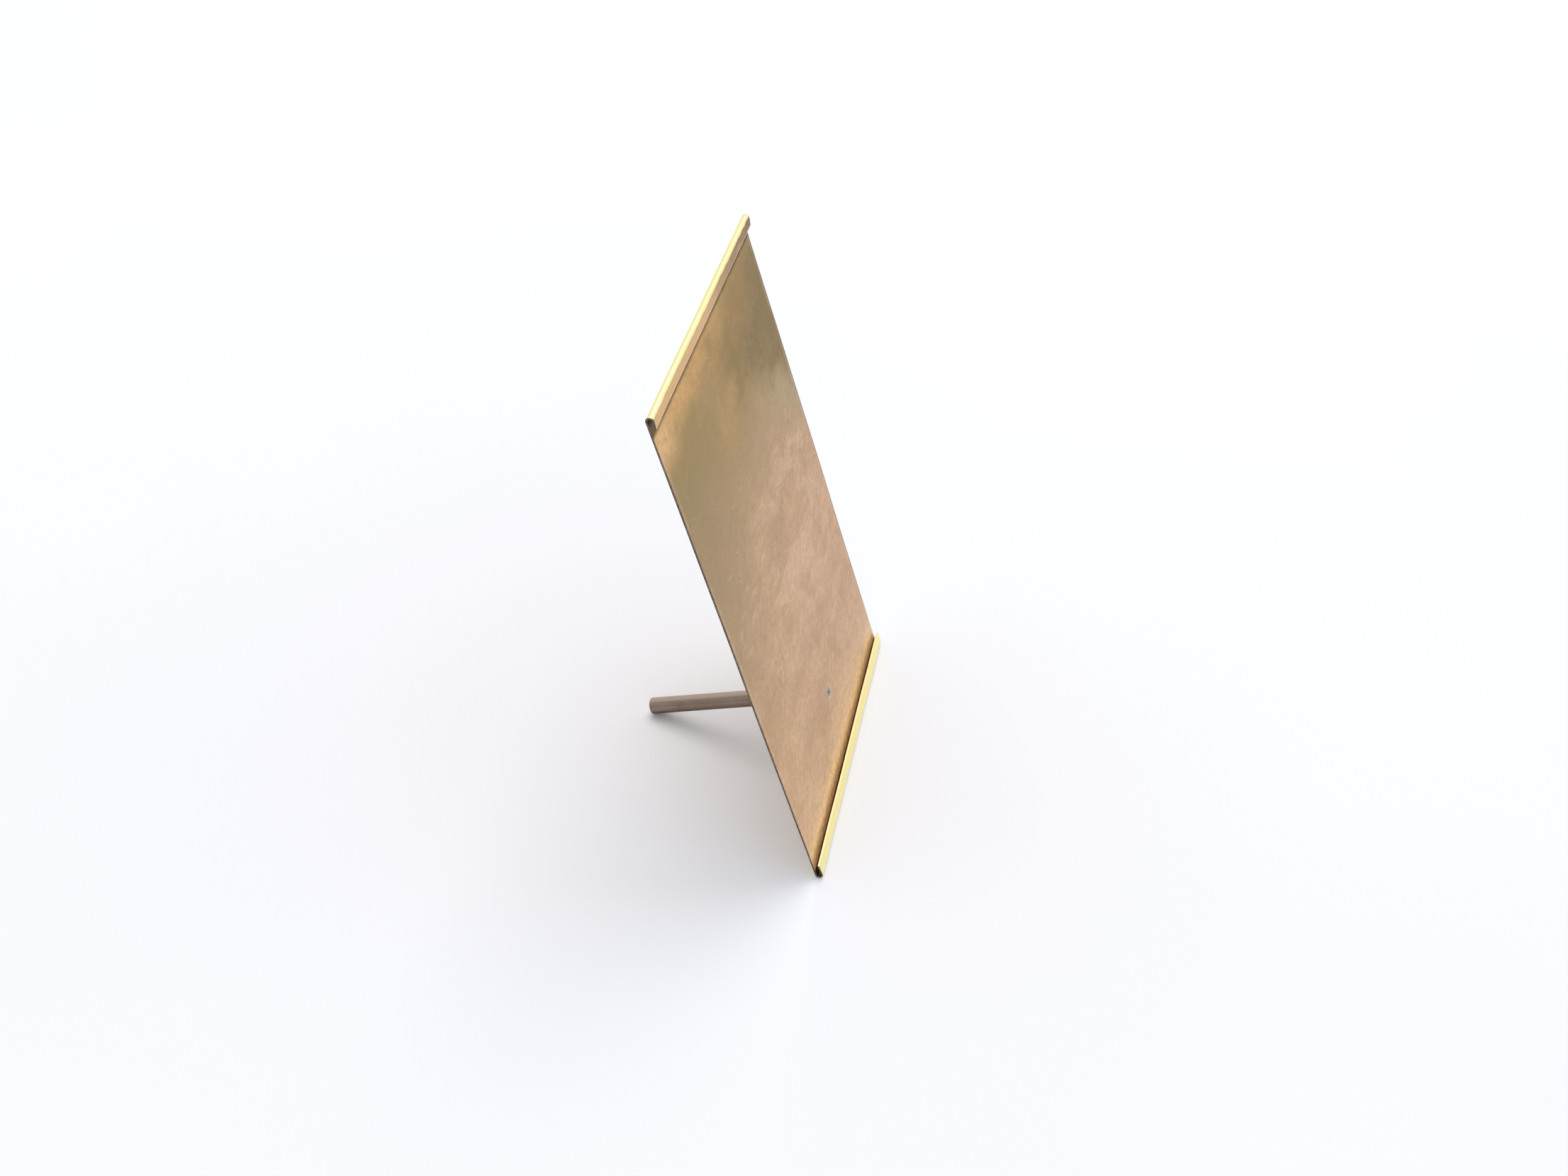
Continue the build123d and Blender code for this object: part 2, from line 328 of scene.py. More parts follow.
def brass_outer():
    """Cleaner, rubbed brass: the bends, the lower lip and the back, with a painted shade ring round the root of the
    leg. The upper lip has the same tarnish as the sheet under it."""
    n = Net("brass_outer_rubbed_painted_shade")
    uv = n.coords("Sheet")
    u, v = n.split(uv)[0], n.split(uv)[1]
    slow = n.noise(n.place(uv, (57, 21, 0)), 0.03, 3.0, 0.55, 0.8)
    clouds = n.noise(n.place(uv, (7, 63, 0), (0, 0, 0.4), (0.6, 1.0, 1)), 0.1, 4.0, 0.6, 0.8)
    grain = n.noise(n.place(uv, scale=(0.10, 3.0, 1)), 1.4, 4.0, 0.6)
    fine = n.noise(uv, 0.9, 5.0, 0.65)
    col = n.blend(n.fit(slow, 0.35, 0.68), (0.990, 0.885, 0.415), (0.975, 0.840, 0.370))
    # the back is browned like the front, cleaner towards both bends
    back = zone(n, v, 0.6, 6.0, 147.0, 153.2)
    tone = n.noise(n.place(uv, (113, 45, 0), (0, 0, 0.5), (0.5, 1.0, 1)), 0.045, 5.0, 0.6, 0.4)
    aged = n.blend(n.fit(tone, 0.36, 0.64), (0.560, 0.380, 0.190), (0.680, 0.480, 0.250))
    rubs = n.noise(n.place(uv, (31, 77, 0), (0, 0, 0.45), (0.30, 1.0, 1)), 0.10, 6.0, 0.66, 0.9)
    aged = n.blend(n.fit(rubs, 0.46, 0.60, 0.0, 0.36), aged, (0.790, 0.600, 0.340))
    bruise = n.fit(n.noise(n.place(uv, (9, 43, 0)), 0.05, 5.0, 0.62, 0.8), 0.50, 0.66, 0.0, 0.34)
    aged = n.blend(bruise, aged, (0.400, 0.265, 0.125))
    col = n.blend(back, col, aged)
    # painted shade: a dark ring round the root of the leg
    shade_ring_radius = n.calc("SQRT", n.calc("ADD", n.calc("POWER", n.calc("SUBTRACT", u, 51.0), 2.0), n.calc("POWER", n.calc("SUBTRACT", v, 24.0), 2.0)))
    shade_ring_radius = n.calc("ADD", shade_ring_radius, n.calc("MULTIPLY", n.calc("SUBTRACT", clouds, 0.5), 1.6))
    col = n.blend(zone(n, shade_ring_radius, 2.1, 2.5, 2.8, 4.6), col, (0.30, 0.20, 0.12))
    a = scratches(n, uv, 0.12, 4.2, 0.03, 0.012, 11.0)
    b = scratches(n, uv, -0.7, 3.4, 0.05, 0.008, 29.0)
    marks = n.calc("MULTIPLY", n.calc("MAXIMUM", a, b), n.fit(n.noise(uv, 0.12, 2.0), 0.42, 0.66))
    col = n.blend(n.calc("MULTIPLY", marks, n.calc("ADD", 0.08, n.calc("MULTIPLY", back, 0.22))), col, (0.96, 0.86, 0.56))
    col = n.blend(n.fit(fine, 0.52, 0.34, 0.0, 0.05), col, (0.55, 0.40, 0.20))
    rough = n.calc("ADD", 0.15, n.calc("MULTIPLY", clouds, 0.10))
    rough = n.calc("ADD", rough, n.calc("MULTIPLY", back, 0.07))
    rough = n.calc("ADD", rough, n.calc("MULTIPLY", fine, 0.03))
    height = n.calc("ADD", n.calc("MULTIPLY", grain, 0.6), n.calc("MULTIPLY", fine, 0.4))
    height = n.calc("SUBTRACT", height, n.calc("MULTIPLY", marks, 0.5))
    return n.metal(col, rough, n.bump(height, 0.0000007, 1.0), Specular_Tint=(1.0, 1.0, 0.90, 1.0))


def brass_lip():
    """Face of the upper lip, as tarnished as the sheet under it."""
    n = Net("brass_lip_patina")
    uv = n.coords("Sheet")
    u, v = n.split(uv)[0], n.split(uv)[1]
    slow = n.noise(n.place(uv, (57, 21, 0)), 0.03, 3.0, 0.55, 0.8)
    fine = n.noise(uv, 0.9, 5.0, 0.65)
    streak = n.noise(n.place(uv, (5, 3, 0), scale=(0.12, 1.0, 1)), 0.8, 4.0, 0.6)
    across = n.fit(n.calc("ADD", u, n.calc("MULTIPLY", slow, 50.0)), 66.0, 128.0)
    col = n.blend(across, (0.74, 0.50, 0.185), (0.200, 0.145, 0.018))
    col = n.blend(n.fit(streak, 0.45, 0.70, 0.0, 0.35), col, (0.74, 0.52, 0.21))
    col = n.blend(n.fit(fine, 0.56, 0.34, 0.0, 0.14), col, (0.26, 0.18, 0.04))
    # the tarnish stops in a wavering line where the bend begins to be rubbed
    line = n.noise(n.place(uv, (9, 0, 0), scale=(0.2, 0.0, 1)), 1.0, 3.0, 0.6)
    line = n.calc("ADD", v, n.calc("MULTIPLY", n.calc("SUBTRACT", line, 0.5), 0.6))
    clean = n.blend(n.fit(slow, 0.35, 0.68), (0.990, 0.905, 0.480), (0.975, 0.860, 0.430))
    col = n.blend(n.fit(line, 155.24, 155.46), clean, col)
    # and its last edge is rubbed bright
    col = n.blend(n.fit(v, 157.74, 157.88, 0.0, 0.85), col, (0.95, 0.80, 0.54))
    rough = n.calc("ADD", 0.20, n.calc("MULTIPLY", fine, 0.14))
    height = n.calc("ADD", n.calc("MULTIPLY", streak, 0.6), n.calc("MULTIPLY", fine, 0.4))
    return n.metal(col, rough, n.bump(height, 0.000002, 1.0), Specular_Tint=(0.85, 0.72, 0.80, 1.0))


def brass_cut():
    """Sheared side edges: dark, dragged across."""
    n = Net("brass_cut_edge")
    p = n.coords()
    fine = n.noise(p, 900.0, 4.0, 0.6)
    drag = n.noise(n.place(p, scale=(1, 0.15, 0.15)), 2600.0, 3.0, 0.6)
    col = n.blend(n.fit(fine, 0.35, 0.65), (0.105, 0.088, 0.075), (0.19, 0.155, 0.125))
    col = n.blend(n.fit(drag, 0.5, 0.7, 0.0, 0.4), col, (0.34, 0.27, 0.20))
    rough = n.calc("ADD", 0.34, n.calc("MULTIPLY", fine, 0.2))
    return n.metal(col, rough, n.bump(drag, 0.00001, 0.8), Specular_Tint=(0.7, 0.6, 0.5, 1.0))


def brass_filed():
    """The long ends of the lips: filed clean, with small nicks."""
    n = Net("brass_filed_edge")
    p = n.coords()
    fine = n.noise(p, 1100.0, 4.0, 0.6)
    nick = n.noise(n.place(p, scale=(1, 0.3, 0.3)), 420.0, 3.0, 0.6)
    col = n.blend(n.fit(fine, 0.35, 0.65), (0.90, 0.78, 0.50), (0.96, 0.88, 0.62))
    col = n.blend(n.fit(nick, 0.58, 0.72, 0.0, 0.35), col, (0.50, 0.36, 0.19))
    rough = n.calc("ADD", 0.22, n.calc("MULTIPLY", fine, 0.16))
    return n.metal(col, rough, n.bump(n.calc("SUBTRACT", fine, nick), 0.000003, 0.8))


def brass_rod():
    """Drawn rod, browned by handling, with marks round it and along it, a painted highlight along its top and painted
    shade underneath.
    """
    n = Net("brass_rod_aged_painted_light")
    uv = n.coords("Sheet")  # u = round the rod from its top in mm, v = along it in mm
    slow = n.noise(uv, 0.07, 3.0, 0.55, 0.8)
    along = n.noise(n.place(uv, scale=(1.4, 0.05, 1)), 1.0, 4.0, 0.6)
    fine = n.noise(uv, 1.2, 4.0, 0.6)
    col = n.blend(n.fit(slow, 0.36, 0.66), (0.225, 0.165, 0.127), (0.300, 0.222, 0.170))
    col = n.blend(n.fit(along, 0.46, 0.70, 0.0, 0.05), col, (0.38, 0.28, 0.20))
    col = n.blend(n.fit(fine, 0.50, 0.34, 0.0, 0.22), col, (0.11, 0.08, 0.062))
    # painted highlight along its top, painted shade underneath
    u = n.calc("ADD", n.split(uv)[0], n.calc("MULTIPLY", n.calc("SUBTRACT", slow, 0.5), 0.7))
    col = n.blend(n.fit(u, 1.6, 0.7, 0.0, 0.75), col, (0.470, 0.350, 0.260))
    col = n.blend(n.fit(u, 3.8, 5.4, 0.0, 0.7), col, (0.095, 0.068, 0.052))
    marks = scratches(n, uv, 0.2, 3.2, 0.05, 0.010, 5.0)
    col = n.blend(n.calc("MULTIPLY", marks, 0.06), col, (0.60, 0.46, 0.33))
    rough = n.calc("ADD", 0.10, n.calc("MULTIPLY", fine, 0.09))
    height = n.calc("ADD", n.calc("MULTIPLY", along, 0.15), n.calc("MULTIPLY", fine, 0.6))
    return n.metal(col, rough, n.bump(height, 0.000003, 1.0))


def brass_bore():
    """Cut thread and chamfer: fresh brass with tool marks."""
    n = Net("brass_machined")
    p = n.coords()
    fine = n.noise(p, 1500.0, 4.0, 0.6)
    col = n.blend(n.fit(fine, 0.35, 0.65), (0.70, 0.52, 0.26), (0.86, 0.70, 0.40))
    rough = n.calc("ADD", 0.22, n.calc("MULTIPLY", fine, 0.16))
    return n.metal(col, rough, n.bump(fine, 0.000008, 0.7))


def steel_screw():
    n = Net("steel_plated_screw")
    p = n.coords()
    fine = n.noise(p, 1400.0, 4.0, 0.6)
    slow = n.noise(p, 420.0, 3.0, 0.5)
    col = n.blend(n.fit(slow, 0.35, 0.65), (0.34, 0.31, 0.27), (0.50, 0.465, 0.41))
    col = n.blend(n.fit(fine, 0.55, 0.38, 0.0, 0.4), col, (0.10, 0.088, 0.075))
    rough = n.calc("ADD", 0.24, n.calc("MULTIPLY", fine, 0.18))
    return n.metal(col, rough, n.bump(fine, 0.000006, 0.7))


FRONT, OUTER, CUT, FILED, LIP = brass_front(), brass_outer(), brass_cut(), brass_filed(), brass_lip()
ROD, BORE, STEEL = brass_rod(), brass_bore(), steel_screw()


# ---------------------------------------------------------------------------
# Folded sheet: stations along the bent strip, each an outer (back) and an
# inner (front) point in (w, v)
# ---------------------------------------------------------------------------
def lip_run(height, lean):
    return (height - FOLD_R * (1 + math.sin(lean))) / math.cos(lean)


def fold_half(height, lean, steps_lip, steps_arc):
    """Stations of the lower fold from its lip end to the back face, as
    (outer w, outer v, inner w, inner v, part), part 0 lip, 1 bend."""
    run = lip_run(height, lean)
    cd, sd = math.cos(lean), math.sin(lean)
    out = []
    for i in range(steps_lip):
        t = run * (1 - i / steps_lip)
        o = (FOLD_R + FOLD_R * cd - t * sd, FOLD_R + FOLD_R * sd + t * cd)
        q = (FOLD_R + FOLD_IN * cd - t * sd, FOLD_R + FOLD_IN * sd + t * cd)
        out.append((*o, *q, 0))
    for i in range(steps_arc + 1):
        a = 2 * math.pi + lean - (math.pi + lean) * i / steps_arc
        ca, sa = math.cos(a), math.sin(a)
        out.append(
            (
                FOLD_R + FOLD_R * ca,
                FOLD_R + FOLD_R * sa,
                FOLD_R + FOLD_IN * ca,
                FOLD_R + FOLD_IN * sa,
                1,
            )
        )
    return out


def spread(a, b, step):
    k = max(1, round((b - a) / step))
    return [a + (b - a) * i / k for i in range(k)]


PATCH, PATCH_N = 3.0, 16
v_lines = (
    spread(FOLD_R, 4.0, 0.6)
    + spread(4.0, LEG_V - PATCH, 1.6)
    + spread(LEG_V - PATCH, LEG_V + PATCH, 2 * PATCH / PATCH_N)
    + spread(LEG_V + PATCH, HEIGHT - 4.0, 2.0)
    + spread(HEIGHT - 4.0, HEIGHT - FOLD_R, 0.6)
)[1:]
low = fold_half(LOW_LIP, LOW_LEAN, 7, 26)
top = fold_half(TOP_LIP, TOP_LEAN, 5, 26)
stations = list(low)
stations += [(0.0, v, SHEET, v, 2) for v in v_lines]
stations += [(o, HEIGHT - ov, q, HEIGHT - qv, part) for o, ov, q, qv, part in reversed(top)]

# arc length along the outer line, for the surface coordinates
arc = [0.0]
for a, b in zip(stations, stations[1:]):
    arc.append(arc[-1] + math.hypot((a[0] + a[2] - b[0] - b[2]) / 2, (a[1] + a[3] - b[1] - b[3]) / 2))
first_flat = len(low)
shift = arc[first_flat] - v_lines[0]
arc = [s - shift for s in arc]


def end_round(o, q, back):
    """Rounded end of the strip between outer point o and inner point q; back
    is the direction out of the end. Points in order from o to q."""
    n = ((q[0] - o[0]) / SHEET, (q[1] - o[1]) / SHEET)
    pts = []
    for i in range(1, 4):
        a = math.pi / 2 * i / 4
        pts.append((o[0] + n[0] * LIP_ROUND * (1 - math.cos(a)) + back[0] * (math.sin(a) - 1) * LIP_ROUND,
                    o[1] + n[1] * LIP_ROUND * (1 - math.cos(a)) + back[1] * (math.sin(a) - 1) * LIP_ROUND))
    pts.append((o[0] + n[0] * LIP_ROUND, o[1] + n[1] * LIP_ROUND))
    pts.append((q[0] - n[0] * LIP_ROUND, q[1] - n[1] * LIP_ROUND))
    for i in range(3, 0, -1):
        a = math.pi / 2 * i / 4
        pts.append((q[0] - n[0] * LIP_ROUND * (1 - math.cos(a)) + back[0] * (math.sin(a) - 1) * LIP_ROUND,
                    q[1] - n[1] * LIP_ROUND * (1 - math.cos(a)) + back[1] * (math.sin(a) - 1) * LIP_ROUND))
    return pts


# the loop: outer side from the lower lip's end to the upper lip's end, the
# rounded end, the inner side back again, the lower rounded end
count = len(stations)
s_low, s_top = stations[0], stations[-1]
d_low = (-math.sin(LOW_LEAN), math.cos(LOW_LEAN))
d_top = (-math.sin(TOP_LEAN), -math.cos(TOP_LEAN))


def pulled(p, d):
    return (p[0] - d[0] * LIP_ROUND, p[1] - d[1] * LIP_ROUND)


loop, kinds, along = [], [], []
for i, s in enumerate(stations):
    p = (s[0], s[1])
    if i == 0:
        p = pulled(p, d_low)
    if i == count - 1:
        p = pulled(p, d_top)
    loop.append(p)
    along.append(arc[i])
end_top = end_round((s_top[0], s_top[1]), (s_top[2], s_top[3]), d_top)
loop += end_top
along += [arc[-1] + 0.05 * (k + 1) for k in range(len(end_top))]
for i in range(count - 1, -1, -1):
    s = stations[i]
    p = (s[2], s[3])
    if i == 0:
        p = pulled(p, d_low)
    if i == count - 1:
        p = pulled(p, d_top)
    loop.append(p)
    along.append(arc[i])
end_low = end_round((s_low[2], s_low[3]), (s_low[0], s_low[1]), d_low)
loop += end_low
along += [arc[0] - 0.05 * (k + 1) for k in range(len(end_low))]
ring = len(loop)
n_end = len(end_top)
# which material a face between loop point k and k+1 takes
kinds = [5 if arc[i] > 154.4 else 1 for i in range(count - 1)] + [4] * (n_end + 1) + [0] * (count - 1) + [4] * (n_end + 1)

# inward direction at each loop point, for the rounded side edges
inward = []
for k in range(ring):
    a, b = loop[k - 1], loop[(k + 1) % ring]
    t = (b[0] - a[0], b[1] - a[1])
    m = math.hypot(*t)
    inward.append((t[1] / m, -t[0] / m))
# the loop runs with the material on its right side: outer side upwards has the
# inner side at larger w
half = WIDTH / 2
u_lines = (
    spread(-half + SIDE_ROUND, -half + 2.0, 0.5)
    + spread(-half + 2.0, -PATCH, 2.0)
    + spread(-PATCH, PATCH, 2 * PATCH / PATCH_N)
    + spread(PATCH, half - 2.0, 2.0)
    + spread(half - 2.0, half - SIDE_ROUND, 0.5)
    + [half - SIDE_ROUND]
)
side_steps = [math.pi / 2 * i / 4 for i in range(1, 5)]


def hole_calm(u, v):
    r = math.hypot(u, v - LEG_V)
    return min(1.0, max(0.0, (r - 4.0) / 14.0))


def handmade(u, w, v, k):
    """The sheet is a little uneven: a slow bow over its face, and lips that
    open and close by a few hundredths along their length."""
    calm = hole_calm(u, v)
    foot = min(1.0, max(0.0, (v - 2.3) / 20.0))
    w += 0.10 * wobble(u, v, 0.4) * calm * foot
    if w > 1.0:  # lips
        w += 0.05 * wobble(u * 2.1, 0.0, 2.0 if v < 70 else 5.0)
    return w, v


verts, uvs, faces, face_mats = [], [], [], []


def add_ring(u, inset):
    start = len(verts)
    for k, (w, v) in enumerate(loop):
        ww, vv = w + inward[k][0] * inset, v + inward[k][1] * inset
        ww, vv = handmade(u, ww, vv, k)
        verts.append(spot(u, vv, ww))
        uvs.append((u + half, along[k]))
    return start


rings = []
for a in reversed(side_steps):
    rings.append((-half + SIDE_ROUND - SIDE_ROUND * math.sin(a), SIDE_ROUND * (1 - math.cos(a))))
rings += [(u, 0.0) for u in u_lines]
for a in side_steps:
    rings.append((half - SIDE_ROUND + SIDE_ROUND * math.sin(a), SIDE_ROUND * (1 - math.cos(a))))
starts = [add_ring(u, inset) for u, inset in rings]

tol = 1e-6
patch_k_outer = [k for k in range(count - 1)
                 if stations[k][4] == 2 and LEG_V - PATCH - tol <= stations[k][1] and stations[k + 1][1] <= LEG_V + PATCH + tol
                 and stations[k + 1][4] == 2]
inner_base = count + n_end
patch_k_inner = [inner_base + (count - 1 - (k + 1)) for k in patch_k_outer]
outer_set, inner_set = set(patch_k_outer), set(patch_k_inner)
for j in range(len(rings) - 1):
    u0, u1 = rings[j][0], rings[j + 1][0]
    in_patch = u0 >= -PATCH - tol and u1 <= PATCH + tol
    side = rings[j][1] > 0 or rings[j + 1][1] > 0
    for k in range(ring):
        if in_patch and (k in outer_set or k in inner_set):
            continue
        k2 = (k + 1) % ring
        faces.append((starts[j] + k, starts[j] + k2, starts[j + 1] + k2, starts[j + 1] + k))
        face_mats.append(2 if side else kinds[k])

# caps at both sides: quads between the outer and inner stations, and one small
# face at each lip end
for j, flip in ((0, False), (len(rings) - 1, True)):
    s = starts[j]
    for i in range(count - 1):
        q = (s + i, s + i + 1, s + inner_base + count - 2 - i, s + inner_base + count - 1 - i)
        faces.append(tuple(reversed(q)) if flip else q)
        face_mats.append(2)
    for lo, hi in ((count - 1, count + n_end), (ring - n_end - 1, ring)):
        q = tuple(s + (k % ring) for k in range(lo, hi + 1))
        faces.append(tuple(reversed(q)) if flip else q)
        face_mats.append(2)

# the screw hole: rows of rings from the front square to the countersink, down
# its cone, through the sheet and out to the back square
col_ids = [j for j, (u, _) in enumerate(rings) if -PATCH - tol <= u <= PATCH + tol]


def square(front):
    ks = patch_k_inner if front else patch_k_outer
    if front:
        rows = [inner_base + (count - 1 - k) for k in patch_k_outer] + [inner_base + (count - 1 - (patch_k_outer[-1] + 1))]
    else:
        rows = list(patch_k_outer) + [patch_k_outer[-1] + 1]
    out = []
    out += [starts[col_ids[-1]] + r for r in rows[:-1]]
    out += [starts[c] + rows[-1] for c in reversed(col_ids[1:])]
    out += [starts[col_ids[0]] + r for r in reversed(rows[1:])]
    out += [starts[c] + rows[0] for c in col_ids[:-1]]
    return out


def hole_ring(r, w):
    start = len(verts)
    ids = []
    m = PATCH_N * 4
    for i in range(m):
        a = -math.pi / 4 + 2 * math.pi * i / m
        u, v = r * math.cos(a), LEG_V + r * math.sin(a)
        verts.append(spot(u, v, w))
        uvs.append((u + half, v))
        ids.append(start + i)
    return ids


def zip_rings(a, b, mat):
    m = len(a)
    for i in range(m):
        faces.append((a[i], a[(i + 1) % m], b[(i + 1) % m], b[i]))
        face_mats.append(mat)


sq_front, sq_back = square(True), square(False)
profile = [
    (2.55, SHEET, 0),
    (2.20, SHEET, 0),
    (2.09, SHEET, 0),
    (2.055, SHEET - 0.008, 3),
    (2.03, SHEET - 0.03, 3),
    (1.80, SHEET - 0.25, 3),
    (1.585, SHEET - 0.455, 3),
    (1.55, SHEET - 0.49, 3),
    (1.55, 0.04, 3),
    (1.565, 0.015, 3),
    (1.60, 0.0, 1),
    (2.2, 0.0, 1),
]
last = sq_front
for r, w, mat in profile:
    cur = hole_ring(r, max(w, 0.0))
    zip_rings(last, cur, mat)
    last = cur
zip_rings(last, sq_back, 1)

panel = new_object("brass_panel", verts, faces, [FRONT, OUTER, CUT, BORE, FILED, LIP], face_mats, True, uvs)


def tidy(obj, angle=40):
    import bmesh

    bm = bmesh.new()
    bm.from_mesh(obj.data)
    bmesh.ops.recalc_face_normals(bm, faces=bm.faces)
    sharp = math.radians(angle)
    for e in bm.edges:
        if len(e.link_faces) == 2 and e.calc_face_angle() > sharp:
            e.smooth = False
    bad = [e for e in bm.edges if not e.is_manifold]
    volume = bm.calc_volume(signed=True)
    bm.to_mesh(obj.data)
    bm.free()
    print(f"{obj.name}: {len(obj.data.vertices)} points, open edges {len(bad)}, volume {volume * 1e9:.1f} mm3")


tidy(panel)


# ---------------------------------------------------------------------------
# Leg: turned profile round its own axis, with a tapped hole in its root
# ---------------------------------------------------------------------------
AXIS = Vector((0, COS, -SIN))
ROOT = spot(0, LEG_V, 0)
SIDE_A = Vector((1, 0, 0))
SIDE_B = AXIS.cross(SIDE_A).normalized()


def lathe(profile, seg, mats, base, name, thread=None):
    """profile: (radius, distance along the axis, material). A radius of 0
    closes with one point. thread(a, z) adds to the radius."""
    vs, uv, fs, fm, rows = [], [], [], [], []
    run = 0.0
    prev = None
    for r, z, m in profile:
        if prev is not None:
            run += math.hypot(r - prev[0], z - prev[1])
        prev = (r, z)
        if r <= 0:
            vs.append(base + AXIS * (z * 0.001))
            uv.append((0.0, run))
            rows.append([len(vs) - 1])
            continue
        row = []
        for i in range(seg):
            a = 2 * math.pi * i / seg
            rr = r + (thread(a, z, r) if thread else 0.0)
            vs.append(base + (SIDE_A * math.cos(a) + SIDE_B * math.sin(a)) * (rr * 0.001) + AXIS * (z * 0.001))
            uv.append((r * abs((a - math.pi / 2) % (2 * math.pi) - math.pi), run))
            row.append(len(vs) - 1)
        rows.append(row)
    for (a, b), (_, _, m) in zip(zip(rows, rows[1:]), profile[1:]):
        if len(a) == 1 and len(b) == 1:
            continue
        for i in range(seg):
            j = (i + 1) % seg
            if len(a) == 1:
                fs.append((a[0], b[j], b[i]))
            elif len(b) == 1:
                fs.append((a[i], a[j], b[0]))
            else:
                fs.append((a[i], a[j], b[j], b[i]))
            fm.append(m)
    o = new_object(name, vs, fs, mats, fm, True, uv)
    tidy(o, 50)
    return o


PITCH = 0.4


def inner_thread(a, z, r):
    """Tapped groove in the leg's hole, fading out at both ends."""
    if r > 1.2 or z < 0.6 or z > 8.6:
        return 0.0
    fade = min(1.0, (z - 0.6) / 0.3, (8.6 - z) / 0.5)
    ph = (z / PITCH - a / (2 * math.pi)) % 1.0
    return 0.16 * fade * (1 - abs(2 * ph - 1) * 1.1 if abs(2 * ph - 1) < 0.9 else 0.01) - 0.0


hole = [(0.0, 9.25, 1), (0.35, 9.12, 1), (1.02, 8.9, 1)]
z = 8.7
while z > 0.62:
    hole.append((1.02, z, 1))
    z -= PITCH / 8
hole += [(1.02, 0.54, 1), (1.30, 0.26, 1), (1.54, 0.02, 1), (1.60, 0.0, 1)]
body = [(1.9, 0.0, 1), (2.25, 0.0, 1), (2.34, 0.005, 0), (2.36, 0.015, 0), (2.49, 0.14, 0), (2.5, 0.18, 0), (2.5, 1.0, 0)]
z = 3.0
while z < LEG_LEN - 1.5:
    body.append((2.5, z, 0))
    z += 2.0
body.append((2.5, LEG_LEN - 0.8, 0))
for i in range(0, 9):
    a = math.pi / 2 * i / 8
    body.append((2.0 + 0.5 * math.cos(a), LEG_LEN - 0.5 + 0.5 * math.sin(a), 0))
body += [(1.6, LEG_LEN, 1), (1.0, LEG_LEN + 0.0, 1), (0.4, LEG_LEN - 0.0, 1), (0.0, LEG_LEN, 1)]
leg = lathe(hole + body, 96, [ROD, BORE], ROOT, "brass_leg", inner_thread)


# ---------------------------------------------------------------------------
# Screw: countersunk head with a cross recess and a real thread
# ---------------------------------------------------------------------------
HEAD_Z = -(SHEET - 0.02)  # head face, along the leg axis from the sheet's back
CROSS, SLOT, DEEP = 2.0, 0.5, 0.7
TURN = math.radians(51.0)


